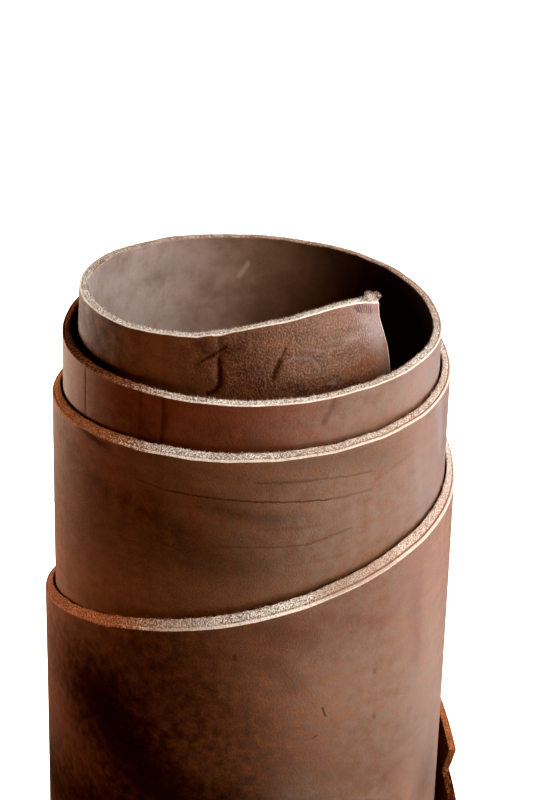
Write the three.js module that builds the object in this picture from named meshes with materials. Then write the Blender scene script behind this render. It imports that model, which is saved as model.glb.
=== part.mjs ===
// A side of vegetable tanned leather, rolled up with its smooth grain side outwards
// and stood on its cut lower edge. It is one sheet of one thickness, a spiral of
// nearly four turns round an open core. Seen from above, the spiral runs clockwise
// from the free end inside the core to the free end outside.
//
// Millimetres and degrees, +Z up, lower edge on z = 0. A place along the sheet is
// given by "turn", the angle it has been wound through, and "below" is how far a
// point lies under the upper edge.

import * as THREE from "three";
import { mergeVertices } from "three/addons/utils/BufferGeometryUtils.js";

// ---- Driving dimensions ------------------------------------------------------------

const height = 720; // from the lower edge to the highest point of the upper edge
const thickness = 3.6; // about nine ounces, as shoulder and side leather is sold

// Winding, measured on the grain side at the upper edge.
const innerTurn = -10; // the free end in the core
const outerTurn = 1388; // the free end outside
const startAngle = -44; // compass place of turn 0, from +X towards +Y
const coreRadius = 70.6;
const turnSpacing = 5.2; // growth of the radius in one whole turn
const waist = { turns: 2, growth: 0.9, angle: 88 }; // two-sided oval, round at two turns
const lobes = { depth: 2, angle: 69 }; // three soft corners, the same in every turn
const curl = { depth: 14.5, reach: 80, fade: 60 }; // the inner end leans into the core
const spring = { from: 1250, lift: 7.5, reach: 138 }; // the outer end springs away
const footSpread = 0.04; // the turns loosen by this share towards the lower edge

// The spiral's own axis, set off so that the whole roll is centred on the origin.
const axisX = -3.7;
const axisY = -3.3;

// The upper edge. "drop" is how far the grain side's corner lies under the highest
// point, and "burr" how far the flesh side's corner stands above the grain side's.
const upperEdge = [
  { turn: -10, drop: 6.4, burr: 4.5 },
  { turn: 3, drop: 1.4, burr: 0.4 },
  { turn: 20, drop: 0, burr: 0 },
  { turn: 45, drop: 4.7, burr: 0 },
  { turn: 70, drop: 10.9, burr: 0 },
  { turn: 95, drop: 13.3, burr: 0 },
  { turn: 150, drop: 13.2, burr: 0.1 },
  { turn: 195, drop: 17, burr: 0.2 },
  { turn: 240, drop: 22.2, burr: 0.2 },
  { turn: 300, drop: 25.4, burr: 0.3 },
  { turn: 360, drop: 26.2, burr: 0.5 },
  { turn: 420, drop: 32.4, burr: 0.7 },
  { turn: 480, drop: 32.7, burr: 0.9 },
  { turn: 540, drop: 28.4, burr: 1.1 },
  { turn: 600, drop: 37.5, burr: 1.3 },
  { turn: 720, drop: 46.1, burr: 1.8 },
  { turn: 780, drop: 53.5, burr: 2.2 },
  { turn: 900, drop: 62.9, burr: 3.2 },
  { turn: 960, drop: 69.8, burr: 3.7 },
  { turn: 1020, drop: 86.8, burr: 4.2 },
  { turn: 1080, drop: 100, burr: 4.6 },
  { turn: 1140, drop: 126, burr: 3.8 },
  { turn: 1200, drop: 148.3, burr: 3 },
  { turn: 1260, drop: 168.7, burr: 2.2 },
  { turn: 1320, drop: 194.2, burr: 1.4 },
  { turn: 1360, drop: 221.1, burr: 0.9 },
  { turn: 1388, drop: 248.4, burr: 0.5 },
];

// The two free ends. "inner" and "outer" are how far each runs past its own place in
// the upper edge, and the outer one has a shallow nick in it.
const freeEnds = [
  { below: 0, inner: 0, outer: 0 },
  { below: 6, inner: -0.8, outer: -3 },
  { below: 12, inner: 1.2, outer: -6 },
  { below: 18, inner: 3.1, outer: -9.4 },
  { below: 25, inner: 3.1, outer: 7.5 },
  { below: 32, inner: 2, outer: 14 },
  { below: height, inner: 2, outer: 14 },
];
const endStretch = 40; // length of sheet over which an end's outline fades out

// Faces: columns along the sheet, and the levels of the rows under the upper edge.
const columns = 186;
const rowsBelow = [0, 6, 12, 18, 25, 32, 90, 250];

// ---- Shape -------------------------------------------------------------------------

const { degToRad, lerp, clamp } = THREE.MathUtils;

// Straight lines through one column of a table.
function straightThrough(rows, place, column, at) {
  const next = rows.findIndex((row) => row[place] >= at);
  if (next < 0) return rows[rows.length - 1][column];
  if (next === 0) return rows[0][column];
  const [a, b] = [rows[next - 1], rows[next]];
  return lerp(a[column], b[column], (at - a[place]) / (b[place] - a[place]));
}

// A smooth curve through one column of a table: at each row its slope is that of the
// line from the row before to the row after.
function smoothThrough(rows, place, column, at) {
  const last = rows.length - 1;
  const next = clamp(rows.findIndex((row) => row[place] >= at), 1, last);
  const slope = (i) => {
    const [a, b] = [rows[Math.max(i - 1, 0)], rows[Math.min(i + 1, last)]];
    return (b[column] - a[column]) / (b[place] - a[place]);
  };
  const [a, b] = [rows[next - 1], rows[next]];
  const span = b[place] - a[place];
  const t = (at - a[place]) / span;
  const rise = b[column] - a[column];
  const bendA = slope(next - 1) * span - rise;
  const bendB = rise - slope(next) * span;
  return a[column] + rise * t + t * (1 - t) * ((1 - t) * bendA + t * bendB);
}

// Radius of the grain side at the upper edge's level, and how it changes further down.
function radiusAt(turn, below) {
  const angle = degToRad(startAngle - turn);
  const wound = turn / 360;
  const oval = waist.growth * (wound - waist.turns) * Math.cos(2 * (angle - degToRad(waist.angle)));
  const corners = lobes.depth * Math.cos(3 * (angle - degToRad(lobes.angle)));
  const lean = curl.depth * Math.exp(-turn / curl.reach) * Math.exp(-below / curl.fade);
  const away = spring.lift * (Math.max(turn - spring.from, 0) / spring.reach) ** 2;
  return coreRadius + turnSpacing * wound + oval + corners - lean + away;
}

// A point of the grain side in plan, about the spiral's axis.
function planPoint(turn, below) {
  const angle = degToRad(startAngle - turn);
  return new THREE.Vector2(Math.cos(angle), Math.sin(angle)).multiplyScalar(radiusAt(turn, below));
}

// The same, moved towards the core by a share of the thickness, square to the sheet.
function sheetPoint(turn, below, z, inward) {
  const nearby = 0.5;
  const along = planPoint(turn + nearby, below).sub(planPoint(turn - nearby, below)).normalize();
  const point = planPoint(turn, below);
  point.x += along.y * thickness * inward;
  point.y -= along.x * thickness * inward;
  point.multiplyScalar(1 + footSpread * (1 - z / height));
  return new THREE.Vector3(axisX + point.x, axisY + point.y, z);
}

// Where a column of the sheet runs at a level, with the outline of the nearer free end.
function turnAt(nominal, below) {
  const perDegree = degToRad(radiusAt(nominal, height));
  const fromInner = (nominal - innerTurn) * perDegree;
  const fromOuter = (outerTurn - nominal) * perDegree;
  const inner = straightThrough(freeEnds, "below", "inner", below) * clamp(1 - fromInner / endStretch, 0, 1);
  const outer = straightThrough(freeEnds, "below", "outer", below) * clamp(1 - fromOuter / endStretch, 0, 1);
  return nominal + (outer - inner) / perDegree;
}

// The sheet starts as a flat box of one thickness, its faces cut into columns and rows,
// and each of its points is then wound onto the spiral.
function rolledSheet() {
  const sheet = new THREE.BoxGeometry(1, 1, 1, columns, 1, rowsBelow.length);
  const position = sheet.attributes.position;
  for (let i = 0; i < position.count; i += 1) {
    const along = position.getX(i) + 0.5;
    const inward = 0.5 - position.getY(i);
    const row = Math.round((0.5 - position.getZ(i)) * rowsBelow.length);
    const nominal = lerp(innerTurn, outerTurn, along);
    const edge = height - smoothThrough(upperEdge, "turn", "drop", nominal);
    const burr = smoothThrough(upperEdge, "turn", "burr", nominal);
    const below = row < rowsBelow.length ? rowsBelow[row] : edge;
    const z = edge - below + (row === 0 ? burr * inward : 0);
    const point = sheetPoint(turnAt(nominal, below), below, z, inward);
    position.setXYZ(i, point.x, point.y, point.z);
  }
  sheet.deleteAttribute("uv");
  sheet.deleteAttribute("normal");
  const closed = mergeVertices(sheet);
  closed.computeVertexNormals();
  return closed;
}

// ---- The one piece -----------------------------------------------------------------

const brownLeather = new THREE.MeshStandardMaterial({
  color: "#6b4c3d",
  roughness: 0.55,
  metalness: 0,
});

const leatherSide = new THREE.Mesh(rolledSheet(), brownLeather);
leatherSide.name = "leather_side";

const roll = new THREE.Group();
roll.add(leatherSide);

export default roll;
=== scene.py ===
import math

import bmesh
import bpy
import numpy as np
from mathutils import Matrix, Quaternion, Vector


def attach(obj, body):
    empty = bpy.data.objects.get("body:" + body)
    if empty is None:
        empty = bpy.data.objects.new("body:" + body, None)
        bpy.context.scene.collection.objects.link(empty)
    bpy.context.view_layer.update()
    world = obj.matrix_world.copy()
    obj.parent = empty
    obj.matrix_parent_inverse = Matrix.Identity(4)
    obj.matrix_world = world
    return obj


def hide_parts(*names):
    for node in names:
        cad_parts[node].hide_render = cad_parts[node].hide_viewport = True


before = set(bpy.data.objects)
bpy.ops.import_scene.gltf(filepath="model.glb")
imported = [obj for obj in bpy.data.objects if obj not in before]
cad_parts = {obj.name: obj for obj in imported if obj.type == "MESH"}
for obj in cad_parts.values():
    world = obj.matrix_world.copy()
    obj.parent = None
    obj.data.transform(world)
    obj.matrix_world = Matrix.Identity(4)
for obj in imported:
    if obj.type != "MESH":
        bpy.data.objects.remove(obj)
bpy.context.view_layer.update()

# The winding, as the solid has it: millimetres, degrees, z from the lower edge up.
# "turn" is the angle wound through since the inner end, "below" the depth under the upper edge.
roll = {
    "height": 720.0,
    "thickness": 3.6,
    "innerTurn": -10.0,
    "outerTurn": 1388.0,
    "startAngle": -44.0,
    "coreRadius": 70.6,
    "turnSpacing": 5.2,
    "waistTurns": 2.0,
    "waistGrowth": 0.9,
    "waistAngle": 88.0,
    "lobeDepth": 2.0,
    "lobeAngle": 69.0,
    "curlDepth": 14.5,
    "curlReach": 80.0,
    "curlFade": 60.0,
    "springFrom": 1250.0,
    "springLift": 7.5,
    "springReach": 138.0,
    "footSpread": 0.04,
    "axisX": -3.7,
    "axisY": -3.3,
}
# turn, drop of the grain corner under the highest point, rise of the flesh corner over it
upperEdge = np.array([
    (-10, 6.4, 1.2), (3, 1.4, 0.4), (20, 0, 0), (45, 4.7, 0), (70, 10.9, 0), (95, 13.3, 0),
    (150, 13.2, 0.1), (195, 17, 0.2), (240, 22.2, 0.2), (300, 25.4, 0.3), (360, 26.2, 0.5),
    (420, 32.4, 0.7), (480, 32.7, 0.9), (540, 28.4, 1.1), (600, 37.5, 1.3), (720, 46.1, 1.8),
    (780, 53.5, 2.2), (900, 62.9, 3.2), (960, 69.8, 3.7), (1020, 86.8, 4.2), (1080, 100, 4.6),
    (1140, 126, 3.8), (1200, 148.3, 3), (1260, 168.7, 2.2), (1320, 194.2, 1.4),
    (1360, 221.1, 0.9), (1388, 248.4, 0.5),
])  # fmt: skip
# depth below the edge, reach of the inner end, reach of the outer end
freeEnds = np.array([
    (0, 0, 0), (6, -0.8, -3), (12, 1.2, -6), (18, 3.1, -9.4), (25, 3.1, 7.5), (32, 2, 14), (720, 2, 14),
])  # fmt: skip
endStretch = 40.0


def through(table, column, at):
    # smooth curve through a table's rows: each row's slope is that of the line between its neighbours
    x, y = table[:, 0], table[:, column]
    last = len(x) - 1
    after = np.clip(np.searchsorted(x, at), 1, last)
    before = after - 1
    rows = np.arange(last + 1)
    low, high = np.maximum(rows - 1, 0), np.minimum(rows + 1, last)
    slope = (y[high] - y[low]) / (x[high] - x[low])
    span = x[after] - x[before]
    t = (at - x[before]) / span
    rise = y[after] - y[before]
    bendA = slope[before] * span - rise
    bendB = rise - slope[after] * span
    return y[before] + rise * t + t * (1 - t) * ((1 - t) * bendA + t * bendB)


def radiusAt(turn, below):
    # radius = core + spacing x turns + a two-sided oval + three soft corners - inner curl + outer spring
    angle = np.radians(roll["startAngle"] - turn)
    wound = turn / 360
    waist = np.cos(2 * (angle - math.radians(roll["waistAngle"])))
    corners = np.cos(3 * (angle - math.radians(roll["lobeAngle"])))
    lean = roll["curlDepth"] * np.exp(-turn / roll["curlReach"] - below / roll["curlFade"])
    away = roll["springLift"] * (np.maximum(turn - roll["springFrom"], 0) / roll["springReach"]) ** 2
    return (
        roll["coreRadius"]
        + roll["turnSpacing"] * wound
        + roll["waistGrowth"] * (wound - roll["waistTurns"]) * waist
        + roll["lobeDepth"] * corners
        - lean
        + away
    )


def planAt(turn, below):
    angle = np.radians(roll["startAngle"] - turn)
    return radiusAt(turn, below)[..., None] * np.stack([np.cos(angle), np.sin(angle)], -1)


def sheetPoint(turn, below, z, inward):
    # point = plan curve at the turn, moved square to it by so many mm, spread a little towards the foot
    along = planAt(turn + 0.5, below) - planAt(turn - 0.5, below)
    along /= np.linalg.norm(along, axis=-1, keepdims=True)
    square = np.stack([along[..., 1], -along[..., 0]], -1)
    plan = planAt(turn, below) + square * inward[..., None]
    plan = plan * (1 + roll["footSpread"] * (1 - z / roll["height"]))[..., None]
    return np.stack([roll["axisX"] + plan[..., 0], roll["axisY"] + plan[..., 1], z + 0 * turn], -1)


# length along the flat sheet, from the inner end, for any turn
turnSteps = np.arange(-30.0, 1420.0, 0.5)
stepPlan = planAt(turnSteps, np.full(turnSteps.shape, 720.0))
stepLength = np.concatenate([[0], np.cumsum(np.linalg.norm(np.diff(stepPlan, axis=0), axis=1))])
stepLength -= np.interp(roll["innerTurn"], turnSteps, stepLength)


def lengthAt(turn):
    return np.interp(turn, turnSteps, stepLength)


def softNoise(x, y, sizeX, sizeY, seed):
    # random heights on a lattice of the given cell sizes, joined by smooth steps, from -1 to 1
    lattice = np.random.default_rng(seed).uniform(-1, 1, (256, 256))
    px, py = x / sizeX + 512.0, y / sizeY + 512.0
    ix, iy = np.floor(px).astype(int), np.floor(py).astype(int)
    tx, ty = px - ix, py - iy
    tx, ty = tx * tx * (3 - 2 * tx), ty * ty * (3 - 2 * ty)
    ix, iy, jx, jy = ix % 256, iy % 256, (ix + 1) % 256, (iy + 1) % 256
    near = lattice[ix, iy] * (1 - tx) + lattice[jx, iy] * tx
    far = lattice[ix, jy] * (1 - tx) + lattice[jx, jy] * tx
    return near * (1 - ty) + far * ty


# Creases and scratches in the grain, each a line of (turn, height) points: the width in mm of its
# dark line, partly the fold's own darker grain and partly painted shade in it, how dark it is, and the depth
# and width in mm of its trough
creases = [
    {"line": [(59.8, 710), (59.8, 700), (59.4, 692)], "width": 1.1, "dark": 0.4, "trough": (0.25, 1.8)},
    {
        "line": [(59.8, 701), (59.3, 690.5), (60.6, 688), (63, 686.6)],
        "width": 1.5,
        "dark": 0.95,
        "trough": (0.5, 1.8),
    },
    {"line": [(57.4, 706.2), (61, 703.2), (66, 699.4)], "width": 0.9, "dark": 0.8, "trough": (0.25, 1.4)},
    {"line": [(66.5, 701), (67.5, 697.5)], "width": 1.4, "dark": 0.3, "trough": (0, 1)},
    {"line": [(52, 706.5), (60, 704)], "width": 2.4, "dark": 0.35, "trough": (0, 1)},
    {"line": [(36.1, 706.5), (38.4, 701)], "width": 0.8, "dark": 0.55, "trough": (0.2, 1.4)},
    {"line": [(38.2, 701.5), (40.5, 694.8)], "width": 1.4, "dark": 0.9, "trough": (0.4, 1.8)},
    {"line": [(801, 651.2), (792, 650.2)], "width": 0.45, "dark": 0.35, "trough": (0, 1)},
    {"line": [(792, 650.2), (763, 650.6), (745, 650.4)], "width": 0.45, "dark": 0.68, "trough": (0.12, 1.3)},
    {"line": [(745, 650.4), (733, 651.4)], "width": 0.7, "dark": 0.3, "trough": (0, 1)},
    {"line": [(766, 658.6), (749, 659.7)], "width": 0.8, "dark": 0.35, "trough": (0, 1.6)},
    {"line": [(749, 659.7), (733, 659.2)], "width": 0.6, "dark": 0.28, "trough": (0, 1)},
    {"line": [(775, 629.6), (752, 631.2)], "width": 0.55, "dark": 0.26, "trough": (0.1, 1.8)},
    {"line": [(752, 631.2), (739, 636.2)], "width": 0.7, "dark": 0.3, "trough": (0.12, 1.8)},
    {"line": [(765, 638), (748, 639.5)], "width": 0.9, "dark": 0.14, "trough": (0, 1)},
    {"line": [(757, 622), (741, 625)], "width": 1.0, "dark": 0.12, "trough": (0, 1)},
    {"line": [(732, 655), (718, 661)], "width": 1.0, "dark": 0.12, "trough": (0, 1)},
    {"line": [(745, 668), (728, 672)], "width": 1.0, "dark": 0.1, "trough": (0, 1)},
    {"line": [(465.6, 689), (465.8, 655)], "width": 0.8, "dark": 0.5, "trough": (0.05, 1.2)},
    {"line": [(434.6, 686), (435.3, 662)], "width": 1.3, "dark": 0.55, "trough": (0.08, 1.4)},
    {"line": [(434.2, 680), (434.4, 674)], "width": 1.6, "dark": 0.4, "trough": (0, 1)},
    {"line": [(442.6, 686), (443.0, 670)], "width": 1.0, "dark": 0.3, "trough": (0, 1)},
    {"line": [(383, 691.5), (384.4, 686), (386.2, 681)], "width": 1.5, "dark": 0.35, "trough": (0.1, 1.6)},
    {"line": [(1106.8, 558.4), (1106.0, 554.2)], "width": 0.55, "dark": 0.65, "trough": (0, 1)},
    {"line": [(1108.1, 545.5), (1109.4, 544.1)], "width": 0.5, "dark": 0.45, "trough": (0, 1)},
    {"line": [(1130.3, 583.6), (1130.2, 582.4)], "width": 1.1, "dark": 0.5, "trough": (0, 1)},
    {"line": [(1092, 570.8), (1091.8, 569.2)], "width": 1.0, "dark": 0.3, "trough": (0, 1)},
    {"line": [(1091.5, 548.8), (1091.3, 547)], "width": 1.1, "dark": 0.3, "trough": (0, 1)},
    {"line": [(1149.4, 540), (1147.4, 539.5)], "width": 1.1, "dark": 0.4, "trough": (0, 1)},
]
# Fine wrinkles that fan down from the torn corner: turn and height of the top, then of the foot
cornerWrinkles = [
    (7.6, 718.3, 5.9, 716.0), (6.2, 718.2, 4.9, 715.4), (4.8, 718.0, 3.9, 714.8),
    (3.4, 717.7, 2.8, 714.6), (2.1, 717.2, 1.9, 714.3), (0.8, 716.7, 0.9, 713.8),
    (-0.6, 716.0, -0.1, 713.4), (-2.0, 715.3, -1.2, 712.8),
]  # fmt: skip
for turnA, heightA, turnB, heightB in cornerWrinkles:
    line = [(turnA, heightA), (turnB, heightB)]
    creases.append({"line": line, "width": 0.5, "dark": 0.75, "trough": (0.08, 0.6)})
# Pale hairline scratches and rubbed spots, as (turn, height) lines with a width in mm and a strength
paleLines = [
    ([(11, 706.4), (7, 705.8)], 0.7, 0.3),
    ([(1.5, 705.2), (-1, 704.9)], 0.5, 0.45),
    ([(-3.5, 704.4), (-6.5, 703.8)], 0.5, 0.5),
    ([(-7, 701.6), (-9, 701.3)], 0.6, 0.8),
    ([(20, 704.4), (14, 704.0)], 0.8, 0.22),
    ([(24, 706.8), (17, 707.6)], 1.0, 0.18),
    ([(36, 701), (32.7, 703), (26.8, 701.6), (23.9, 697.8)], 1.0, 0.3),
    ([(30, 706), (22, 704)], 1.0, 0.25),
    ([(21, 691), (18, 690.6)], 0.9, 0.4),
    ([(103, 712), (103.6, 708)], 0.5, 0.35),
    ([(101, 700), (101.6, 672)], 1.6, 0.12),
]
# Clouds of oil and of bloom, with painted light among them: a line of (turn, height) points, reach along and
# up in mm, and a strength that darkens the grain where it is positive and greys it where it is negative.
# Some dark ones are painted shade, and some grey ones are painted sheen
clouds = [
    ([(1104, 599), (1096, 594)], 12, 5, 0.2),
    ([(1121, 596), (1113, 592)], 14, 6, 0.3),
    ([(1097, 518), (1083, 517)], 10, 4, 0.25),
    ([(1078, 592), (1076, 572)], 4, 12, 0.2),
    ([(1121, 580), (1115, 570)], 8, 6, 0.35),
    # grey haze on the outer turn's front right: partly bloom, partly painted sheen
    ([(1110, 575), (1090, 560)], 22, 10, -0.3),
    ([(1088, 615), (1070, 560)], 10, 26, -0.35),
    ([(1100, 535), (1085, 545)], 18, 6, -0.25),
    ([(775, 646), (762, 643)], 9, 3, 0.4),
    ([(800, 640), (775, 622)], 18, 6, 0.3),
    ([(835, 655), (815, 640)], 12, 8, 0.25),
    ([(750, 668), (728, 664)], 12, 5, 0.2),
    # grey near the third turn's right edge: partly bloom, partly painted sheen
    ([(715, 655), (712, 628)], 5, 14, -0.6),
    ([(703, 672), (700, 655)], 5, 8, -0.9),
    ([(740, 615), (728, 640)], 16, 10, -0.25),
    ([(372, 678), (345, 690)], 14, 8, -0.3),
    ([(338, 694), (332, 684)], 6, 8, -0.5),
    ([(415, 676), (402, 672)], 10, 6, 0.25),
    ([(450, 676), (441, 670)], 7, 10, 0.25),
    ([(66, 706), (64, 703)], 5, 3, 0.5),
    ([(72, 700), (58, 694)], 10, 8, 0.3),
    # painted shade on the lower part of the inner end
    ([(30, 690), (10, 688)], 14, 5, 0.6),
    ([(17, 703.7), (10.7, 701.3), (3.7, 700.8)], 4, 3, 0.4),
    ([(12.9, 709.9), (7.1, 709.1)], 3.5, 1.6, 0.4),
    ([(-2.5, 714.2), (-7.5, 711.8)], 3.5, 1.6, 0.4),
    ([(12.2, 706.5), (6.2, 707.6)], 3.5, 1.8, -0.45),
    ([(3.2, 712.6), (-5.5, 704.5), (0.7, 704.9)], 5, 3.5, -0.5),
    ([(-4, 702), (-9, 688)], 7, 8, -0.6),
    # painted shade over the inner end's lower part
    ([(24, 700), (4, 697)], 20, 14, 0.3),
    ([(52, 699), (44, 694)], 12, 12, 0.45),
    # painted shade on the first turn's left
    ([(140, 700), (112, 700)], 24, 30, 0.75),
    # painted shade on the outer turn's lower left front
    ([(1196, 478), (1134, 508)], 30, 26, 0.9),
    ([(1066, 496), (1052, 470)], 11, 18, 0.7),
    # grey haze on the lit front right of the turns: partly bloom, partly painted sheen
    ([(1112, 520), (1086, 506)], 12, 12, -0.4),
    ([(1094, 570), (1056, 520)], 36, 60, -0.45),
    ([(372, 680), (334, 680)], 36, 30, -0.5),
    ([(735, 640), (700, 640)], 40, 40, -0.42),
    # painted shade: the outer turn's front left darkens to near black and fades downwards
    ([(1172, 546), (1136, 492)], 34, 26, 1.0),
    ([(1150, 562), (1120, 500)], 38, 40, 0.55),
    ([(1196, 450), (1150, 440)], 46, 56, 0.5),
    # painted shade on the first turn's left
    ([(118, 706), (102, 700)], 9, 20, 0.6),
    # painted sheen: a grey stripe near the second turn's left edge
    ([(488, 690), (482, 650)], 6, 30, -0.6),
    ([(820, 662), (814, 661)], 5, 1.6, 0.8),
]
# Patches where the dye is redder
redClouds = [
    ([(446, 684), (392, 684)], 24, 24, 0.75),
    ([(57.4, 704), (57.2, 692)], 2.6, 8, 0.35),
    ([(784, 648), (782, 636)], 4, 8, 0.5),
    ([(823, 657), (800, 640)], 14, 8, 0.3),
    ([(1119, 590), (1112, 597)], 11, 8, 0.6),
    ([(1106, 598), (1094, 594)], 12, 6, 0.8),
    ([(1077, 592), (1075, 572)], 4, 12, 0.65),
    ([(1097, 518), (1083, 517)], 10, 4, 0.7),
    ([(1140, 560), (1112, 540)], 26, 36, 0.25),
    ([(0, 714), (-8, 712)], 5, 2.4, 0.8),
    ([(60, 698), (44, 692)], 10, 8, 0.3),
    ([(1190, 560), (1180, 480)], 18, 30, 0.35),
]
# The same for the flesh side: painted sheen greys it at the left of the core, painted shade darkens its
# inner wall at the right, and it is rubbed in a slanting streak
fleshStreak = [(221, 687.6), (219, 684), (217.6, 681.6)]
fleshClouds = [
    # partly pale bloom, partly painted sheen: grey on the wall left of the core
    ([(100, 700), (172, 690)], 54, 90, -1.0),
    ([(205, 700), (214, 699)], 14, 4, -0.35),
    ([(190, 693), (184, 688)], 7, 4, 0.3),
    ([(228, 692), (236, 690)], 10, 4, 0.35),
    # painted shade on the inner wall at the right
    ([(262, 712), (330, 690)], 40, 60, 0.9),
    ([(166, 702), (160, 699)], 6, 3, 0.25),
    ([(225, 676), (214, 674)], 10, 4, 0.3),
]
# and for the cut edge: dye run into the fibre, painted shade on the outer turns' left rims and on the outer
# end's edge, and, where negative, a duller fibre
cutClouds = [
    ([(-4, 718), (-12, 717)], 6, 9, 0.5),
    # painted shade on the second turn's left rim
    ([(456, 690), (480, 690)], 24, 30, 0.85),
    # painted shade on the outer end's edge and the flap beside it
    ([(1394, 452), (1394, 0)], 26, 14, 1.5),
    ([(1386, 464), (1350, 490)], 20, 14, 0.65),
    # painted shade on the outer turn's left rim
    ([(1215, 590), (1198, 600)], 14, 20, 0.35),
    ([(1240, 570), (1200, 570)], 18, 40, 0.45),
    ([(740, 672), (690, 680)], 34, 30, -0.6),
    ([(1092, 600), (1052, 640)], 28, 50, -0.75),
    ([(1172, 600), (1146, 600)], 14, 40, -0.6),
    ([(1102, 612), (1090, 616)], 14, 20, -1.0),
    ([(380, 690), (360, 694)], 12, 20, -0.4),
    ([(320, 700), (170, 700)], 30, 20, -0.5),
]
# Nicks in the cut edge: turn, depth at the grain corner, reach in mm
nicks = [(60, 0.7, 3.5), (68, 0.4, 2.5), (826, 0.8, 1.4), (1168, 0.7, 1.5), (1172, 0.4, 2.5)]
# The inner end's upper corner, drawn out and torn: its fibre stands in a lump that leans past the end
endCorner = {
    "past": 1.6,  # mm that the corner is drawn out, and how far down and along that fades
    "depth": 1.9,
    "along": 9.0,
    "lump": 2.3,  # height of the lump over the cut
    "from": 9.5,  # mm from the end where the lump starts, and how far it takes to rise
    "rise": 2.6,
    "reach": 8.0,
    "rough": 0.8,
    "flare": 3.0,  # mm that its tip bends outwards, over so many mm before the end
    "flareFrom": 4.5,
}


def nearLine(points, s, h, reachS=1.0, reachH=1.0):
    # distance from each (length, height) to a line of straight pieces, and how far along it: 0 to 1
    points = np.array([(lengthAt(turn) / reachS, height / reachH) for turn, height in points])
    s, h = s / reachS, h / reachH
    best, where = np.full(s.shape, 1e9), np.zeros(s.shape)
    count = len(points) - 1
    for i in range(count):
        ax, ay = points[i]
        bx, by = points[i + 1] - points[i]
        t = np.clip(((s - ax) * bx + (h - ay) * by) / (bx * bx + by * by), 0, 1)
        far = np.hypot(s - ax - t * bx, h - ay - t * by)
        closer = far < best
        best = np.where(closer, far, best)
        where = np.where(closer, (i + t) / count, where)
    return best, where


def grainRelief(turn, z):
    # mm outwards: troughs at the creases, a bell across each line, fading out at its two ends
    s = lengthAt(turn)
    out = np.zeros(s.shape)
    for crease in creases:
        depth, width = crease["trough"]
        if depth > 0:
            far, where = nearLine(crease["line"], s, z)
            ends = np.clip(4 * np.minimum(where + 0.1, 1.1 - where), 0, 1)
            out -= depth * np.exp(-((far / width) ** 2)) * ends
    return out


def cloudShade(table, s, z):
    # strength x bell of the distance, the reaches stretching it along and up
    dark, pale = np.zeros(s.shape), np.zeros(s.shape)
    for points, along, up, strength in table:
        far, _ = nearLine(points, s, z, along, up)
        bell = np.exp(-(far**2)) * abs(strength)
        if strength > 0:
            dark = np.maximum(dark, bell)
        else:
            pale = np.maximum(pale, bell)
    return dark, pale


sheetMesh = {
    "frontSpacing": 1.9,  # mm between columns where the turns face the front
    "backSpacing": 5.2,
    "markSpacing": 0.7,  # and beside upright marks and at the two ends
    "closeRows": [(8, 1.1), (30, 1.9), (60, 3.2), (108, 6)],  # (down to, spacing) under the edge
    "farRows": 13,  # from there to the floor
    "cornerRound": 0.35,
    "dent": 0.35,  # mm, how unevenly the turns lie, alike in every turn so that they nest
    "edgeWave": 0.2,  # mm, unevenness of the knife's cut
    "fleshRag": 0.25,  # mm, raggedness of the cut's flesh corner
}
# turns where the columns stand closest, and the reach of that in mm: upright marks and both ends
finerColumns = [(59.5, 5), (61.5, 4), (38.5, 5), (465.7, 3), (435.1, 3), (-10, 13), (1388, 10)]
# across the cut edge: share of the thickness, drop of the rounded corners in mm
edgeProfile = np.array([
    (0.03, 0.14), (0.1, 0.02), (0.19, 0.05), (0.25, 0.22), (0.31, 0.06), (0.42, 0),
    (0.55, 0), (0.68, 0), (0.8, 0.02), (0.9, 0.08), (0.97, 0.24),
])  # fmt: skip
# past a free end: length in mm and share of the thickness left, which rounds and closes the end
endClose = np.array([(0.2, 0.94), (0.3, 0.82), (0.33, 0.5), (0.33, 0.2), (0.33, 0)])


def columnTurns():
    # columns stand closer at the front, and closest at upright marks and at the two ends
    turn = turnSteps[(turnSteps >= roll["innerTurn"]) & (turnSteps <= roll["outerTurn"])]
    length = lengthAt(turn)
    facing = np.clip(0.75 - np.sin(np.radians(roll["startAngle"] - turn)) * 1.4, 0, 1)
    spacing = sheetMesh["backSpacing"] + (sheetMesh["frontSpacing"] - sheetMesh["backSpacing"]) * facing
    for mark, reach in finerColumns:
        near = np.exp(-(((length - lengthAt(mark)) / reach) ** 4))
        spacing = spacing + (sheetMesh["markSpacing"] - spacing) * near
    spacingMid = (spacing[1:] + spacing[:-1]) / 2
    count = np.concatenate([[0], np.cumsum(np.diff(length) / spacingMid)])
    return np.interp(np.linspace(0, count[-1], int(count[-1]) + 1), count, turn)


def rowLevels():
    # depths under the edge in mm, then shares of what is left to the floor
    levels, at = [sheetMesh["cornerRound"] * 1.2], 0.0
    for downTo, spacing in sheetMesh["closeRows"]:
        steps = round((downTo - at) / spacing)
        levels += list(at + (downTo - at) * np.arange(1, steps + 1) / steps)
        at = downTo
    return np.array(levels), (np.arange(1, sheetMesh["farRows"] + 1) / sheetMesh["farRows"]) ** 1.25


def smooth(t):
    t = np.clip(t, 0, 1)
    return t * t * (3 - 2 * t)


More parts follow.
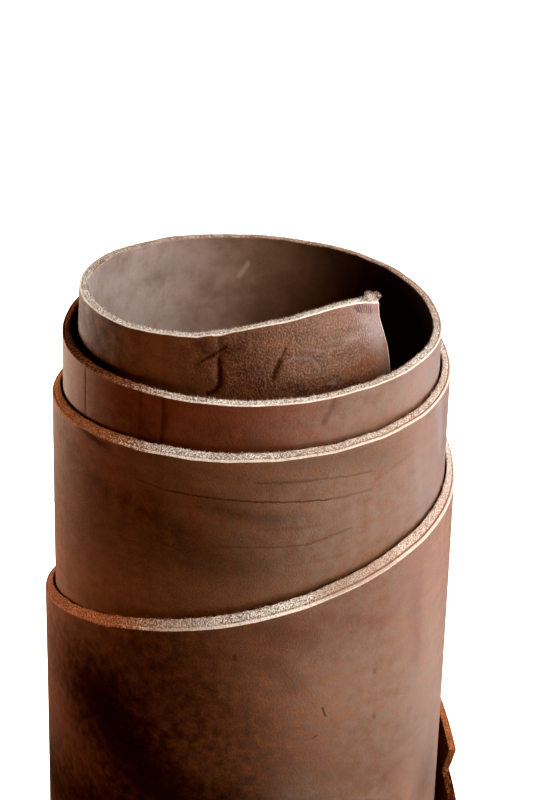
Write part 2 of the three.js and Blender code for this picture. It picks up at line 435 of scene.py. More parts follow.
def edgeHeight(turn, across):
    # height of the cut edge: table + knife waves and rag - nicks at the grain corner + the torn lump
    length = lengthAt(turn)
    edge = roll["height"] - through(upperEdge, 1, turn) + through(upperEdge, 2, turn) * across
    edge = edge + sheetMesh["edgeWave"] * softNoise(length, 0 * length, 11, 1, seed=3)
    edge = edge + 0.4 * sheetMesh["edgeWave"] * softNoise(length, 0 * length, 3.5, 1, seed=4)
    nearFlesh = np.clip(3 * across - 2, 0, 1)
    edge = edge + sheetMesh["fleshRag"] * softNoise(length, 5 * across, 1.3, 1, seed=5) * nearFlesh
    nearGrain = np.clip(1 - 1.6 * across, 0, 1)
    for at, depth, reach in nicks:
        edge = edge - depth * np.exp(-(((length - lengthAt(at)) / reach) ** 2)) * nearGrain
    fromEnd = length - lengthAt(roll["innerTurn"])
    behindGrain = smooth((across - 0.08) / 0.4)
    edge = edge + endCorner["lump"] * smooth((endCorner["from"] - fromEnd) / endCorner["rise"]) * behindGrain
    torn = np.exp(-((fromEnd / endCorner["reach"]) ** 4)) * behindGrain
    return edge + endCorner["rough"] * torn * softNoise(length, 6 * across, 1.3, 1.8, seed=6)


def tipFlare(fromInner, across, above):
    # mm outwards at the tip of the torn corner, for what stands above the grain corner
    nearEnd = smooth(1 - fromInner / endCorner["flareFrom"])
    return endCorner["flare"] * nearEnd * smooth((across - 0.25) / 0.4) * smooth(above / 2.5)


def freeEndShift(fromInner, fromOuter, below):
    # mm that the two ends' outlines move a point along the sheet, and the drawn-out corner
    inner = np.interp(below, freeEnds[:, 0], freeEnds[:, 1])
    drawn = np.exp(-((below / endCorner["depth"]) ** 2)) * np.exp(-((fromInner / endCorner["along"]) ** 2))
    inner = inner + endCorner["past"] * drawn
    outer = np.interp(below, freeEnds[:, 0], freeEnds[:, 2])
    nearInner, nearOuter = (np.clip(1 - far / endStretch, 0, 1) for far in (fromInner, fromOuter))
    return outer * nearOuter - inner * nearInner


def dentAt(turn, z):
    # uneven lie of the turns, the same at one place round the roll in every turn
    angle = np.radians(roll["startAngle"] - turn)
    slow = np.sin(3 * angle + z / 95 + 0.7) * np.sin(z / 61 + 1.1)
    return sheetMesh["dent"] * (0.6 * slow + 0.4 * np.sin(5 * angle - z / 140 + 2.1))


def rolledGrid():
    # every point is (turn, share of the thickness, depth under the edge) wound onto the spiral
    columns = columnTurns()
    tails = len(endClose)
    nominal = np.concatenate([np.full(tails, columns[0]), columns, np.full(tails, columns[-1])])
    past = np.concatenate([-endClose[::-1, 0], 0 * columns, endClose[:, 0]])
    thick = np.concatenate([endClose[::-1, 1], 1 + 0 * columns, endClose[:, 1]])
    perDegree = np.radians(radiusAt(nominal, np.full(nominal.shape, roll["height"])))
    close, share = rowLevels()
    rows, tops = len(close) + len(share), len(edgeProfile)
    # one loop round the sheet: up the grain side, over the cut edge, down the flesh side
    across = np.concatenate([np.zeros(rows), edgeProfile[:, 0], np.ones(rows)])
    shareHere = 0.8 + (across[None, :] - 0.8) * thick[:, None]
    across = 0.5 + (across[None, :] - 0.5) * thick[:, None]
    along = nominal[:, None] + 0 * across
    top = edgeHeight(along, across)
    edge = roll["height"] - through(upperEdge, 1, nominal)[:, None]
    down = np.concatenate([close, np.full(len(share), close[-1])])
    reach = np.concatenate([np.zeros(len(close)), share])
    faces = np.r_[np.arange(rows)[::-1], rows + tops + np.arange(rows)]
    level = np.r_[np.arange(rows), np.arange(rows)]
    z = top.copy()
    z[:, faces] = (top[:, faces] - down[level]) * (1 - reach[level])
    # towards a free end the profile turns symmetrical, so that its two sides meet point on point
    drop, evenDrop = edgeProfile[:, 1], (edgeProfile[:, 1] + edgeProfile[::-1, 1]) / 2
    z[:, rows : rows + tops] -= evenDrop + (drop - evenDrop) * thick[:, None]
    below = np.clip(edge - z, 0, None)
    fromInner = ((nominal - roll["innerTurn"]) * perDegree)[:, None]
    fromOuter = ((roll["outerTurn"] - nominal) * perDegree)[:, None]
    shift = freeEndShift(fromInner, fromOuter, below) + past[:, None]
    turn = along + shift / perDegree[:, None]
    relief = grainRelief(turn, z) * (1 - across) * thick[:, None]
    inward = roll["thickness"] * across - relief - dentAt(turn, z)
    inward = inward - tipFlare(fromInner, shareHere, z - edge)
    points = sheetPoint(turn, below, z, inward)
    flat = np.stack([lengthAt(turn), roll["thickness"] * across, z], -1)
    return points, flat, turn, rows, tops


# Cut edge turned orange brown: partly burnish from handling, partly painted shade on the outer turns' left
# rims, which the inner turns shade, and at the outer end. The turns where it starts, is full, stops being
# full and ends, strength
burnishedAndShaded = [
    (140, 230, 290, 330, 0.25),
    (420, 474, 520, 560, 0.9),
    (780, 836, 900, 930, 1.0),
    (1138, 1186, 1260, 1290, 1.0),
    (1330, 1366, 1400, 1420, 1.0),
]
# Groove beside the grain lip, with painted shade in it: middle turn, reach in turn, strength, deeper in the
# outer turns
grooved = [(-40, 60, 0.3), (325, 50, 0.45), (690, 60, 0.9), (1060, 60, 1.0), (1388, 80, 0.6)]


def edgeWear(turn):
    # how far the cut edge is browned, partly burnish and partly painted shade, and how far its groove is
    # painted dark, each from 0 to 1
    burnishAndShade, groove = np.zeros(turn.shape), np.zeros(turn.shape)
    for start, full, stop, end, strength in burnishedAndShaded:
        rise = np.clip((turn - start) / (full - start), 0, 1) * np.clip((end - turn) / (end - stop), 0, 1)
        burnishAndShade = np.maximum(burnishAndShade, strength * smooth(rise))
    for middle, reach, strength in grooved:
        groove = np.maximum(groove, strength * np.exp(-(((turn - middle) / reach) ** 2)))
    return burnishAndShade, groove


def addAttributes(mesh, flat, turn):
    # what the materials read: place on the flat sheet, clouds, and the browning and groove shade of the cut
    # edge, partly wear and partly painted shade
    place = mesh.attributes.new("flatMm", "FLOAT_VECTOR", "POINT")
    place.data.foreach_set("vector", flat.reshape(-1).astype(np.float32))
    dark, pale = cloudShade(clouds, flat[..., 0], flat[..., 2])
    red, _ = cloudShade(redClouds, flat[..., 0], flat[..., 2])
    share = flat[..., 1] / roll["thickness"]
    for table, here in ((fleshClouds, share > 0.98), (cutClouds, (share > 0.01) & (share < 0.98))):
        otherDark, otherPale = cloudShade(table, flat[..., 0], flat[..., 2])
        dark, pale = np.where(here, otherDark, dark), np.where(here, otherPale, pale)
    burnishAndShade, groove = edgeWear(turn)
    marks = {"oilAndShade": dark, "bloomAndSheen": pale, "redness": red, "burnishAndShade": burnishAndShade, "groove": groove}
    for name, values in marks.items():
        layer = mesh.attributes.new(name, "FLOAT", "POINT")
        layer.data.foreach_set("value", values.reshape(-1).astype(np.float32))


def meshFromGrid(name, points, flat, turn, rows, tops):
    columns, loop = points.shape[:2]
    index = np.arange(columns * loop).reshape(columns, loop)
    nextLoop = np.roll(index, -1, axis=1)
    quads = np.stack([index[:-1], index[1:], nextLoop[1:], nextLoop[:-1]], -1).reshape(-1, 4)
    mesh = bpy.data.meshes.new(name)
    mesh.from_pydata(points.reshape(-1, 3) * 0.001, [], quads)
    addAttributes(mesh, flat, turn)
    # slots: 0 grain side, 1 flesh side, 2 cut edges, which are the top, the bottom and the two ends
    side = np.full(loop, 2)
    side[: rows - 1] = 0
    side[rows + tops : -1] = 1
    slots = np.repeat(side[None, :], columns - 1, axis=0)
    slots[: len(endClose) + 1] = 2
    slots[-len(endClose) :] = 2
    mesh.polygons.foreach_set("material_index", slots.reshape(-1).astype(np.int32))
    mesh.update()
    return mesh


def closeSeams(mesh):
    # the last column of each end folds onto itself, so its points are merged and slivers go
    work = bmesh.new()
    work.from_mesh(mesh)
    bmesh.ops.remove_doubles(work, verts=work.verts, dist=2e-6)
    bmesh.ops.dissolve_degenerate(work, edges=work.edges, dist=1e-7)
    bmesh.ops.recalc_face_normals(work, faces=work.faces)
    openEdges = sum(1 for edge in work.edges if len(edge.link_faces) != 2)
    work.to_mesh(mesh)
    work.free()
    mesh.shade_smooth()
    print(mesh.name, len(mesh.polygons), "faces,", openEdges, "open edges")


def toLinear(hexColour):
    # sRGB hex to the linear values that the shaders take
    values = [int(hexColour[i : i + 2], 16) / 255 for i in (1, 3, 5)]
    return tuple(v / 12.92 if v <= 0.04045 else ((v + 0.055) / 1.055) ** 2.4 for v in values) + (1.0,)


def addNode(tree, kind, inputs=None, **settings):
    # one node with its settings; an input takes a value, or the socket that feeds it
    node = tree.nodes.new("ShaderNode" + kind)
    for name, value in settings.items():
        setattr(node, name, value)
    for name, value in (inputs or {}).items():
        if isinstance(value, bpy.types.NodeSocket):
            tree.links.new(value, node.inputs[name])
        else:
            node.inputs[name].default_value = value
    return node


def newMaterial(name):
    material = bpy.data.materials.new(name)
    material.use_nodes = True
    return material, material.node_tree, material.node_tree.nodes["Principled BSDF"]


def mathNode(tree, operation, *values):
    return addNode(tree, "Math", dict(enumerate(values)), operation=operation).outputs[0]


def ramp(tree, value, low, high, toLow=0.0, toHigh=1.0):
    # the value's stretch from low to high, eased to the two new ends
    inputs = {0: value, 1: low, 2: high, 3: toLow, 4: toHigh}
    return addNode(tree, "MapRange", inputs, interpolation_type="SMOOTHSTEP").outputs[0]


def noiseNode(tree, place, size, detail=3.0, roughness=0.55, stretch=None):
    # noise with cells of the given size in mm, longer along the sheet or up it where stretched
    if stretch:
        place = addNode(tree, "VectorMath", {0: place, 1: stretch}, operation="DIVIDE").outputs[0]
    inputs = {"Vector": place, "Scale": 1.0 / size, "Detail": detail, "Roughness": roughness}
    return addNode(tree, "TexNoise", inputs)


def mixColour(tree, share, a, b):
    # colour a turned to colour b by the share; each is a hex colour or a socket
    a, b = (toLinear(colour) if isinstance(colour, str) else colour for colour in (a, b))
    return addNode(tree, "Mix", {0: share, 6: a, 7: b}, data_type="RGBA").outputs[2]


def scaled(tree, colour, shade):
    return addNode(tree, "VectorMath", {0: colour, "Scale": shade}, operation="SCALE").outputs[0]


def lineShade(tree, place, points, width):
    # 1 on a line of (turn, height) points, falling smoothly to 0 at the given distance in mm
    shade = None
    for (turnA, heightA), (turnB, heightB) in zip(points[:-1], points[1:]):
        a = np.array([lengthAt(turnA), 0, heightA])
        ab = np.array([lengthAt(turnB), 0, heightB]) - a
        fromA = addNode(tree, "VectorMath", {0: place, 1: tuple(a)}, operation="SUBTRACT").outputs[0]
        inputs = {0: fromA, 1: tuple(ab / ab.dot(ab))}
        share = addNode(tree, "VectorMath", inputs, operation="DOT_PRODUCT")
        held = addNode(tree, "Clamp", {0: share.outputs["Value"]}).outputs[0]
        on = scaled(tree, tuple(ab), held)
        far = addNode(tree, "VectorMath", {0: fromA, 1: on}, operation="DISTANCE")
        this = ramp(tree, far.outputs["Value"], 0.0, width, 1.0, 0.0)
        shade = this if shade is None else mathNode(tree, "MAXIMUM", shade, this)
    return shade


def manyLines(tree, place, lines):
    # the strongest of several lines, each (points, width, strength)
    shade = None
    for points, width, strength in lines:
        this = mathNode(tree, "MULTIPLY", lineShade(tree, place, points, width), strength)
        shade = this if shade is None else mathNode(tree, "MAXIMUM", shade, this)
    return shade


def shifted(tree, place, size, amount):
    # the place moved along and up by noise, so that painted lines wander and fray
    drift = noiseNode(tree, place, size, 2.0).outputs["Color"]
    centred = addNode(tree, "VectorMath", {0: drift, 1: (0.5, 0.5, 0.5)}, operation="SUBTRACT").outputs[0]
    inputs = {0: centred, 1: (amount, 0, amount), 2: place}
    return addNode(tree, "VectorMath", inputs, operation="MULTIPLY_ADD").outputs[0]


def flatPlace(tree):
    # place on the flat sheet in mm: x along, y through the thickness, z up; y is left out here
    place = addNode(tree, "Attribute", attribute_name="flatMm").outputs["Vector"]
    return place, addNode(tree, "VectorMath", {0: place, 1: (1, 0, 1)}, operation="MULTIPLY").outputs[0]


def layer(tree, name):
    return addNode(tree, "Attribute", attribute_name=name).outputs["Fac"]


def frayed(tree, value, ragged):
    # a cloud frays at its rim: strength + noise x strength x (1.05 - strength)
    rim = mathNode(tree, "MULTIPLY", value, mathNode(tree, "SUBTRACT", 1.05, value))
    wander = ramp(tree, ragged, 0.3, 0.7, -1.0, 1.0)
    return addNode(tree, "Clamp", {0: mathNode(tree, "MULTIPLY_ADD", wander, rim, value)}).outputs[0]


grain = {
    "umber": "#5d3e28",  # the dye clouds between these two
    "chestnut": "#714b31",
    "red": "#6a3219",
    # the dark of oil, and of painted shade
    "oiledAndShaded": "#1e0c05",
    # grey of bloom and of painted sheen
    "bloomAndSheenGrey": "#6f625a",
    "rubbed": "#85777a",
    # the dark of the creases, partly painted shade in the folds
    "crease": "#2a130b",
    "wrinkle": 0.9,  # mm, and the sizes of pebbles, specks and pores
    "pebble": 0.85,
    "speck": 0.8,
    "pore": 0.3,
    "mottle": 6.0,  # mm, and the sizes of the streaks along the sheet and up it
    "alongStreak": 4.5,
    "upStreak": 4.0,
    "pressed": (48, 84, 0.07),  # turns between which the wrinkles flatten, and what is left of them
}


def brownGrain():
    # vegetable tanned grain, drum dyed brown and oiled: a smooth, faintly pebbled face whose
    # colour clouds from red brown to umber, with a broad soft gloss; painted shade and painted sheen are
    # mixed into its colour too
    material, tree, shader = newMaterial("vegTannedGrain")
    _, place = flatPlace(tree)
    bent = shifted(tree, place, 2.5, 1.1)
    tone = noiseNode(tree, place, 55, 4.0, 0.5, (1.6, 1, 1)).outputs["Fac"]
    colour = mixColour(tree, ramp(tree, tone, 0.3, 0.7), grain["umber"], grain["chestnut"])
    # shade = mottle x streaks along x streaks up x specks x net between the wrinkles, which is painted shade
    mottle = noiseNode(tree, place, grain["mottle"], 4.0, 0.6).outputs["Fac"]
    shade = ramp(tree, mottle, 0.3, 0.7, 0.9, 1.1)
    for name, roughness, stretch, depth in (
        ("alongStreak", 0.5, (6, 1, 1), 0.07),
        ("upStreak", 0.5, (1, 1, 12), 0.04),
        ("speck", 0.6, None, 0.14),
    ):
        mark = noiseNode(tree, place, grain[name], 2.0, roughness, stretch).outputs["Fac"]
        shade = mathNode(tree, "MULTIPLY", shade, ramp(tree, mark, 0.3, 0.7, 1 - depth, 1 + depth))
    ragged = noiseNode(tree, place, 5.0, 4.0, 0.65).outputs["Fac"]
    oilAndShade, bloomAndSheen, red = (frayed(tree, layer(tree, name), ragged) for name in ("oilAndShade", "bloomAndSheen", "redness"))
    # the grain is wrinkled and pebbled near the inner end, and pressed flatter further along
    start, end, left = grain["pressed"]
    along = addNode(tree, "SeparateXYZ", {0: place}).outputs[0]
    pressed = ramp(tree, along, float(lengthAt(start)), float(lengthAt(end)), 1.0, left)
    wrinkle = noiseNode(tree, place, grain["wrinkle"], 3.0, 0.6).outputs["Fac"]
    # painted shade: the low net between the wrinkles is darkened
    netShade = mathNode(tree, "MULTIPLY", ramp(tree, wrinkle, 0.34, 0.52, -0.22, 0.03), pressed)
    shade = mathNode(tree, "MULTIPLY", shade, mathNode(tree, "ADD", netShade, 1.0))
    # painted highlight: the wrinkle tops are turned pale grey
    wrinkleTopHighlight = mathNode(tree, "MULTIPLY", ramp(tree, wrinkle, 0.48, 0.66, 0.0, 0.34), pressed)
    crease = manyLines(tree, bent, [(mark["line"], mark["width"] * 1.4, mark["dark"]) for mark in creases])
    rubbed = manyLines(tree, bent, [(line, width * 1.3, strength) for line, width, strength in paleLines])
    # red patches, oil that deepens the brown and painted shade, grey haze that is partly bloom and partly
    # painted sheen, rubbed spots, wrinkle tops with painted highlights, and the dark lines of creases,
    # partly painted shade
    colour = mixColour(tree, mathNode(tree, "MULTIPLY", red, 0.8), colour, grain["red"])
    colour = mixColour(tree, mathNode(tree, "MULTIPLY", oilAndShade, 0.9), colour, grain["oiledAndShaded"])
    colour = scaled(tree, colour, shade)
    colour = mixColour(tree, bloomAndSheen, colour, grain["bloomAndSheenGrey"])
    colour = mixColour(tree, mathNode(tree, "MAXIMUM", rubbed, wrinkleTopHighlight), colour, grain["rubbed"])
    # partly painted shade: the crease lines are darkened
    colour = mixColour(tree, mathNode(tree, "MULTIPLY", crease, 0.85), colour, grain["crease"])
    tree.links.new(colour, shader.inputs["Base Color"])
    # relief: pebbles, pores, and the lines of the creases
    cells = {"Vector": bent, "Scale": 1 / grain["pebble"], "Smoothness": 0.55}
    pebbles = addNode(tree, "TexVoronoi", cells, feature="SMOOTH_F1").outputs["Distance"]
    pores = noiseNode(tree, place, grain["pore"], 2.0).outputs["Fac"]
    raised = mathNode(tree, "MULTIPLY", pebbles, mathNode(tree, "MULTIPLY_ADD", pressed, 0.75, 0.25))
    relief = mathNode(tree, "MULTIPLY_ADD", raised, -1.6, pores)
    relief = mathNode(tree, "MULTIPLY_ADD", crease, -1.5, relief)
    bump = addNode(tree, "Bump", {"Height": relief, "Strength": 0.55, "Distance": 0.00018})
    tree.links.new(bump.outputs[0], shader.inputs["Normal"])
    tree.links.new(ramp(tree, ragged, 0.3, 0.7, 0.48, 0.6), shader.inputs["Roughness"])
    level = mathNode(tree, "MULTIPLY_ADD", layer(tree, "oilAndShade"), -0.62, 0.7)
    level = mathNode(tree, "MULTIPLY", level, mathNode(tree, "MULTIPLY_ADD", crease, -0.8, 1.0))
    tree.links.new(level, shader.inputs["Specular IOR Level"])
    return material


flesh = {
    "brown": "#5a4029",  # the flesh clouds between these two
    "fawn": "#6f5138",
    # grey of painted sheen, partly a pale bloom
    "bleachedAndSheen": "#948a8a",
    "rubbed": "#958a80",
    "streakWidth": 1.9,  # mm
    "nap": 0.6,
}


def nappedFlesh():
    # the flesh side, shaved and glazed down: grey brown, dull, with a short nap and soft clouds;
    # painted sheen greys its left and painted shade darkens its right inner wall
    material, tree, shader = newMaterial("shavedFlesh")
    _, place = flatPlace(tree)
    cloud = noiseNode(tree, place, 20, 5.0, 0.55, (1.2, 1, 1)).outputs["Fac"]
    streak = noiseNode(tree, place, 5.0, 5.0, 0.65).outputs["Fac"]
    both = mathNode(tree, "MULTIPLY_ADD", streak, 0.45, mathNode(tree, "SUBTRACT", cloud, 0.075))
    colour = mixColour(tree, ramp(tree, both, 0.45, 0.86), flesh["brown"], flesh["fawn"])
    bloomAndSheen = mathNode(tree, "MULTIPLY", layer(tree, "bloomAndSheen"), ramp(tree, both, 0.45, 0.8, 0.55, 1.0))
    colour = mixColour(tree, bloomAndSheen, colour, flesh["bleachedAndSheen"])
    rubbed = lineShade(tree, shifted(tree, place, 3.0, 1.5), fleshStreak, flesh["streakWidth"])
    colour = mixColour(tree, mathNode(tree, "MULTIPLY", rubbed, 0.6), colour, flesh["rubbed"])
    nap = noiseNode(tree, place, flesh["nap"], 4.0, 0.65).outputs["Fac"]
    shade = ramp(tree, nap, 0.3, 0.7, 0.93, 1.07)
    # painted shade, from the oil clouds, darkens the right inner wall
    oiledAndShaded = mathNode(tree, "MULTIPLY_ADD", layer(tree, "oilAndShade"), -0.6, 1.0)
    colour = scaled(tree, colour, mathNode(tree, "MULTIPLY", shade, oiledAndShaded))
    tree.links.new(colour, shader.inputs["Base Color"])
    bump = addNode(tree, "Bump", {"Height": nap, "Strength": 0.4, "Distance": 0.0002})
    tree.links.new(bump.outputs[0], shader.inputs["Normal"])
    shader.inputs["Roughness"].default_value = 0.62
    shader.inputs["Specular IOR Level"].default_value = 0.5
    shader.inputs["Sheen Weight"].default_value = 0.12
    shader.inputs["Sheen Roughness"].default_value = 0.5
    return material


cutEdge = {
    "dun": "#70625a",  # the raw fibre is flecked between these two
    "cream": "#d8d4d1",
    "lip": "#ddd5ce",
    "soiled": "#80695c",
    # painted shade in the groove beside the grain lip
    "groove": "#573624",
    "fleshCorner": "#6b5242",
    # orange brown of burnish and of painted shade on the shaded rims
    "shadedWornDark": "#633d28",
    "shadedWornPale": "#aa7450",
    # dark of the dye and of painted shade
    "dyedAndShaded": "#3d2112",
    "fleck": 0.55,  # mm
}


def cutFibre():
    # the raw cut edge: cream collagen fibre flecked with dye, a brown line of painted shade in the groove
    # under a pale grain lip, and a dull orange brown, partly burnish from handling and partly painted shade
    # on the left rims and at the outer end
    material, tree, shader = newMaterial("rawCutEdge")
    place, _ = flatPlace(tree)
    parts = addNode(tree, "SeparateXYZ", {0: place})
    fleck = noiseNode(tree, place, cutEdge["fleck"], 3.0, 0.6).outputs["Fac"]
    patch = noiseNode(tree, place, 6.0, 2.0).outputs["Fac"]
    pale = mathNode(tree, "MULTIPLY_ADD", patch, 0.12, mathNode(tree, "SUBTRACT", fleck, 0.06))
    fibre = mixColour(tree, ramp(tree, pale, 0.38, 0.62), cutEdge["dun"], cutEdge["cream"])
    # across the edge, in shares of the thickness: 1 on the grain lip, 1 on the groove beside it, whose brown
    # is painted shade
    share = mathNode(tree, "DIVIDE", parts.outputs[1], roll["thickness"])
    lip = ramp(tree, share, 0.13, 0.22, 1.0, 0.0)
    fall = ramp(tree, share, 0.27, 0.37, 1.0, 0.0)
    groove = mathNode(tree, "MULTIPLY", ramp(tree, share, 0.16, 0.24), fall)
    grooving = mathNode(tree, "MULTIPLY_ADD", layer(tree, "groove"), 0.85, 0.1)
    groove = mathNode(tree, "MULTIPLY", groove, grooving)
    fleshCorner = ramp(tree, share, 0.9, 1.0, 0.0, 0.4)
    glow = mathNode(tree, "MULTIPLY_ADD", layer(tree, "groove"), 0.15, 0.5)
    colour = mixColour(tree, mathNode(tree, "MULTIPLY", lip, glow), fibre, cutEdge["lip"])
    # handled smooth and a little soiled
    soiled = mathNode(tree, "MULTIPLY", layer(tree, "bloomAndSheen"), 0.75)
    colour = mixColour(tree, soiled, colour, cutEdge["soiled"])
    # painted shade: the groove is browned
    colour = mixColour(tree, groove, colour, cutEdge["groove"])
    colour = mixColour(tree, fleshCorner, colour, cutEdge["fleshCorner"])
    # brown flecks thicken into a burnished face, which is painted shade on the shaded left rims and at the
    # outer end: fleck + half the browning, cut at a level
    wornAndShaded = mixColour(tree, ramp(tree, pale, 0.36, 0.64), cutEdge["shadedWornDark"], cutEdge["shadedWornPale"])
    burnishAndShade = layer(tree, "burnishAndShade")
    grit = noiseNode(tree, place, 0.7, 2.0).outputs["Fac"]
    brown = mathNode(tree, "MULTIPLY_ADD", burnishAndShade, 0.55, grit)
    workedAndShaded = ramp(tree, brown, 0.6, 0.76, 0.0, 1.0)
    colour = mixColour(tree, mathNode(tree, "MULTIPLY", workedAndShaded, 0.95), colour, wornAndShaded)
    # dark flecks where the dye has run in, and painted shade on the outer turns' left rims and the outer
    # end's edge
    speck = noiseNode(tree, place, 1.3, 2.0).outputs["Fac"]
    dyedAndShaded = mathNode(tree, "MULTIPLY", layer(tree, "oilAndShade"), ramp(tree, speck, 0.42, 0.56, 0.45, 1.0))
    colour = mixColour(tree, dyedAndShaded, colour, cutEdge["dyedAndShaded"])
    level = mathNode(tree, "MULTIPLY_ADD", burnishAndShade, -0.4, 0.5)
    tree.links.new(level, shader.inputs["Specular IOR Level"])
    tree.links.new(colour, shader.inputs["Base Color"])
    bump = addNode(tree, "Bump", {"Height": fleck, "Strength": 0.5, "Distance": 0.0003})
    tree.links.new(bump.outputs[0], shader.inputs["Normal"])
    shader.inputs["Roughness"].default_value = 0.85
    return material


points, flat, turn, rows, tops = rolledGrid()
leatherMesh = meshFromGrid("rolledSide", points, flat, turn, rows, tops)
closeSeams(leatherMesh)
leather = bpy.data.objects.new("rolledSide", leatherMesh)
bpy.context.scene.collection.objects.link(leather)
for material in (brownGrain(), nappedFlesh(), cutFibre()):
    leatherMesh.materials.append(material)
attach(leather, "root")
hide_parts("leather_side")
print("leather", points.shape)

fibres = {
    "count": 11000,
    "length": (0.35, 1.1),  # mm
    "radius": 0.13,  # coarser than a real fibre bundle, so that it shows
    "torn": 500,  # how many of them are on the torn corner
    "seed": 11,
}


def edgeFibres():
    # spikes of three sides: a small triangle at the root, and a point at root + length x direction
    rng = np.random.default_rng(fibres["seed"])
    n = fibres["count"]
    turn = rng.uniform(roll["innerTurn"] + 1, roll["outerTurn"] - 1, n)
    torn = rng.exponential(3.0, fibres["torn"])
    turn[: fibres["torn"]] = roll["innerTurn"] + np.clip(torn, 0.3, 12)
    across = np.where(rng.random(n) < 0.6, rng.uniform(0.8, 1.0, n), rng.uniform(0.35, 0.95, n))
    corner = 0.12 + 0.15 * (across > 0.93)
    edge = edgeHeight(turn, across) - corner
    perDegree = np.radians(radiusAt(turn, np.full(n, roll["height"])))
    fromInner = (turn - roll["innerTurn"]) * perDegree
    fromOuter = (roll["outerTurn"] - turn) * perDegree
    zero = np.zeros(n)
    placed = turn + freeEndShift(fromInner, fromOuter, zero) / perDegree
    above = edge - roll["height"] + through(upperEdge, 1, turn)
    inward = roll["thickness"] * across - dentAt(placed, edge) - tipFlare(fromInner, across, above)
    root = sheetPoint(placed, zero, edge, inward)
    inwardStep = sheetPoint(placed, zero, edge, inward + 1) - root
    alongStep = sheetPoint(placed + 0.5, zero, edge, inward) - root
    alongStep /= np.linalg.norm(alongStep, axis=1, keepdims=True)
    upStep = np.tile((0.0, 0.0, 1.0), (n, 1))
    lean = rng.normal(0, 0.55, (n, 2))
    direction = upStep + inwardStep * (lean[:, :1] + 0.5 * (across > 0.8)[:, None]) + alongStep * lean[:, 1:]
    direction /= np.linalg.norm(direction, axis=1, keepdims=True)
    sideA = np.cross(direction, alongStep)
    sideA /= np.linalg.norm(sideA, axis=1, keepdims=True)
    sideB = np.cross(direction, sideA)
    size = rng.uniform(*fibres["length"], n)
    size[: fibres["torn"]] *= 1.4
    size *= 1 - 0.6 * edgeWear(turn)[0]
    corners = []
    for k in range(3):
        angle = k * 2 * math.pi / 3
        corners.append(root + fibres["radius"] * (math.cos(angle) * sideA + math.sin(angle) * sideB))
    tip = root + direction * size[:, None]
    verts = np.stack([*corners, tip], 1)
    base = np.arange(n)[:, None] * 4
    faces = np.concatenate([base + face for face in ([0, 1, 3], [1, 2, 3], [2, 0, 3], [0, 2, 1])])
    flatRoot = np.stack([lengthAt(placed), roll["thickness"] * across, edge], -1)
    mesh = bpy.data.meshes.new("edgeFibres")
    mesh.from_pydata(verts.reshape(-1, 3) * 0.001, [], faces)
    addAttributes(mesh, np.repeat(flatRoot, 4, axis=0), np.repeat(turn, 4))
    mesh.update()
    return mesh


fibreMesh = edgeFibres()
fibreMesh.materials.append(leatherMesh.materials[2])
fuzz = bpy.data.objects.new("edgeFibres", fibreMesh)
bpy.context.scene.collection.objects.link(fuzz)
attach(fuzz, "root")
print("fibres", len(fibreMesh.polygons))

camera = {
    "place": (0.0001, -0.8270, 1.0591),
    "down": 26.16,  # degrees below the horizon
    "roll": 1.405,
    "lens": 99.0,
}


def setCamera():
    data = bpy.data.cameras.new("camera")
    data.lens = camera["lens"]
    data.sensor_width = 36.0
    holder = bpy.data.objects.new("camera", data)
    holder.location = camera["place"]
    holder.rotation_mode = "QUATERNION"
    level = Quaternion((1, 0, 0), math.radians(90 - camera["down"]))
    holder.rotation_quaternion = level @ Quaternion((0, 0, 1), math.radians(camera["roll"]))
    bpy.context.scene.collection.objects.link(holder)
    bpy.context.scene.camera = holder


# Soft panels: compass angle from the front towards the right, distance out and height of the
# middle and height it is aimed at in metres, width and height of the panel, watts, colour, rays
studio = {
    "window": (49, 1.4, 1.4, 0.62, 0.9, 1.0, 30, "#fff6ea", "both"),
    "skylight": (92, 0.7, 2.1, 0.7, 1.1, 0.9, 18, "#fff8f0", "diffuse"),
    "lowRight": (40, 1.4, 0.4, 0.5, 1.0, 0.5, 8, "#fff8f0", "both"),
    "tableRight": (100, 1.4, 0.35, 0.62, 0.8, 0.6, 7.5, "#f2f2ff", "gloss"),
    "backRight": (127, 1.3, 0.7, 0.62, 1.2, 0.9, 13, "#ecf0ff", "gloss"),
    "left": (-106, 0.7, 0.66, 0.62, 0.6, 0.14, 6.5, "#ffe2c4", "diffuse"),
    "backLeft": (-124, 0.9, 0.66, 0.68, 0.4, 0.4, 8, "#faf3e8", "gloss"),
    "behind": (172, 1.5, 0.5, 0.36, 1.6, 0.8, 16, "#fff4ea", "diffuse"),
    "behindLeft": (-164, 1.5, 0.3, 0.3, 1.0, 0.5, 9, "#fff4ea", "diffuse"),
    "footFront": (20, 0.8, 0.06, 0.1, 0.9, 0.1, 1.2, "#fff4ea", "both"),
    "footRight": (110, 0.8, 0.06, 0.1, 0.9, 0.1, 1.2, "#fff4ea", "both"),
    "footLeft": (-80, 0.8, 0.06, 0.06, 0.9, 0.1, 0.3, "#fff4ea", "diffuse"),
}


def setLights():
    for name, (compass, distance, height, aim, wide, high, power, colour, rays) in studio.items():
        data = bpy.data.lights.new(name, "AREA")
        data.shape = "RECTANGLE"
        data.size, data.size_y = wide, high
        data.energy = power
        data.color = toLinear(colour)[:3]
        panel = bpy.data.objects.new(name, data)
        angle = math.radians(compass)
        panel.location = (distance * math.sin(angle), -distance * math.cos(angle), height)
        facing = Vector((0, 0, aim)) - panel.location
        panel.rotation_mode = "QUATERNION"
        panel.rotation_quaternion = facing.to_track_quat("-Z", "Y")
        panel.visible_camera = False
        panel.visible_diffuse = rays != "gloss"
        panel.visible_glossy = rays != "diffuse"
        bpy.context.scene.collection.objects.link(panel)


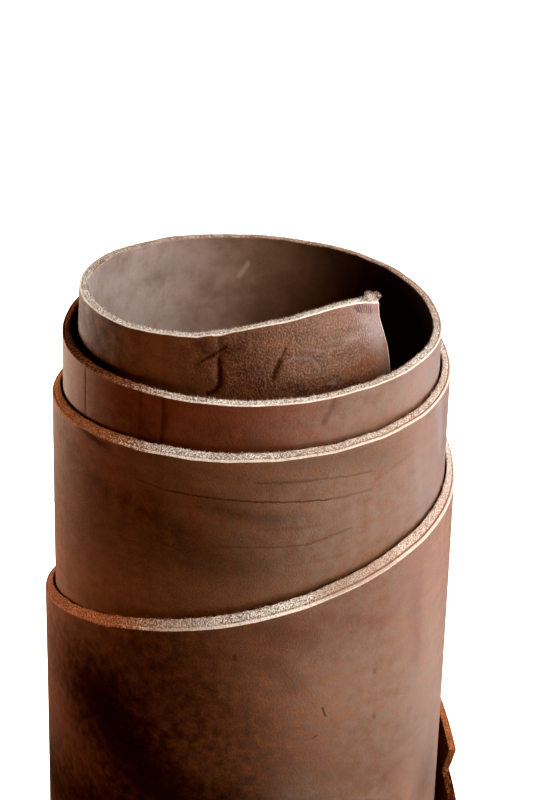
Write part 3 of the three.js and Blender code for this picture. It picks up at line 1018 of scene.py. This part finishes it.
surroundings = {
    "floorHalf": 7.0,  # m
    "paper": "#e6e6e6",
    "paperGlow": 0.7,
    "dull": "#2c1a10",  # the floor as the roll sees it
    "sky": "#f4f6fa",
    "skySeen": 0.9,  # its strength to the camera, and to the roll
    "skyFelt": 0.005,
    "blackLevel": (0.003, 0.006, 0.006),
}


def paleFloor():
    # white paper to the camera; to the roll it is a dull brown, which keeps its shaded side dark
    mesh = bpy.data.meshes.new("floor")
    half = surroundings["floorHalf"]
    corners = [(-half, -half, 0), (half, -half, 0), (half, half, 0), (-half, half, 0)]
    mesh.from_pydata(corners, [], [(0, 1, 2, 3)])
    paper = bpy.data.objects.new("floor", mesh)
    bpy.context.scene.collection.objects.link(paper)
    material, tree, shader = newMaterial("whitePaperFloor")
    shader.inputs["Base Color"].default_value = toLinear(surroundings["paper"])
    shader.inputs["Roughness"].default_value = 0.9
    shader.inputs["Emission Color"].default_value = toLinear("#ffffff")
    shader.inputs["Emission Strength"].default_value = surroundings["paperGlow"]
    dull = addNode(tree, "BsdfDiffuse", {"Color": toLinear(surroundings["dull"])}).outputs[0]
    seen = addNode(tree, "LightPath").outputs["Is Camera Ray"]
    both = addNode(tree, "MixShader", {0: seen, 1: dull, 2: shader.outputs[0]})
    tree.links.new(both.outputs[0], tree.nodes["Material Output"].inputs[0])
    mesh.materials.append(material)


def setWorld():
    world = bpy.data.worlds.new("studio")
    world.use_nodes = True
    tree = world.node_tree
    seen = addNode(tree, "LightPath").outputs["Is Camera Ray"]
    inputs = {0: seen, 1: 0.0, 2: 1.0, 3: surroundings["skyFelt"], 4: surroundings["skySeen"]}
    strength = addNode(tree, "MapRange", inputs)
    tree.links.new(strength.outputs[0], tree.nodes["Background"].inputs[1])
    tree.nodes["Background"].inputs[0].default_value = toLinear(surroundings["sky"])
    bpy.context.scene.world = world


def setGrade():
    # a contrasty print, its deepest shade crushed a little
    grade = bpy.context.scene.view_settings
    grade.view_transform = "Standard"
    grade.look = "High Contrast"
    grade.use_curve_mapping = True
    grade.curve_mapping.black_level = surroundings["blackLevel"]
    grade.curve_mapping.update()


setCamera()
setLights()
paleFloor()
setWorld()
setGrade()
print("studio set")
